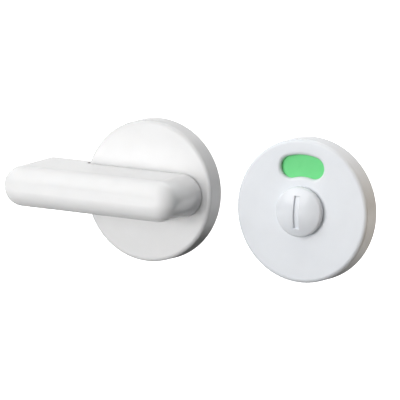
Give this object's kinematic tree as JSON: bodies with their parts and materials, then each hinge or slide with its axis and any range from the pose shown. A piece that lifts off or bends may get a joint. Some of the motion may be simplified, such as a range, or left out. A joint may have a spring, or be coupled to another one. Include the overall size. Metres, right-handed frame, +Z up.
{
  "type": "bathroom thumb turn lock",
  "caption": "White bathroom lock set: a long thumb turn on a round rose, and an outside release rose with a coin-slot knob and an indicator window that shows green.",
  "frame": {"origin": "centre of the turn half's back face, on the turn's axis, in the plane of the door's face", "axes": "+X to the right towards the release half, +Z up, +Y into the door, so both halves face -Y"},
  "size_m": [0.1373, 0.0665, 0.0529],
  "materials": {
    "turn_nylon": "glossy white nylon",
    "release_nylon": "glossy cool white nylon",
    "hub_metal": "die-cast, satin",
    "spindle_steel": "bright zinc plated",
    "screw_steel": "black oxide",
    "spring_steel": "phosphated spring steel",
    "washer_steel": "zinc plated",
    "base_nylon": "moulded, matt",
    "bush_acetal": "natural acetal",
    "disc_nylon": "moulded, matt",
    "vacant_green": "printed foil",
    "engaged_red": "printed foil"
  },
  "bodies": {
    "base": {"turn_rose_cover": "turn_nylon", "turn_base_plate": "base_nylon", "turn_bush": "bush_acetal", "turn_wave_washer": "spring_steel", "turn_thrust_washer": "washer_steel", "release_rose_cover": "release_nylon", "release_base_plate": "base_nylon", "release_bush": "bush_acetal", "release_wave_washer": "spring_steel", "release_thrust_washer": "washer_steel"},
    "turn": {"turn_lever": "turn_nylon", "turn_hub": "hub_metal", "spindle": "spindle_steel", "grub_screw": "screw_steel", "turn_retaining_ring": "spring_steel"},
    "release": {"release_knob": "release_nylon", "release_hub": "hub_metal", "indicator_disc": "disc_nylon", "vacant_foil": "vacant_green", "engaged_foil": "engaged_red", "release_retaining_ring": "spring_steel"}
  },
  "joints": [
    {"name": "turn", "type": "hinge", "parent": "base", "child": "turn", "pos_m": [0, 0, 0], "axis": [0, 1, 0], "range_deg": [0, 90]},
    {"name": "release_turn", "type": "hinge", "parent": "base", "child": "release", "pos_m": [0.0623, 0, -0.0009], "axis": [0, 1, 0], "range_deg": [-90, 0]}
  ],
  "couplings": [
    {"joint": "release_turn", "follows": "turn", "ratio": -1}
  ]
}
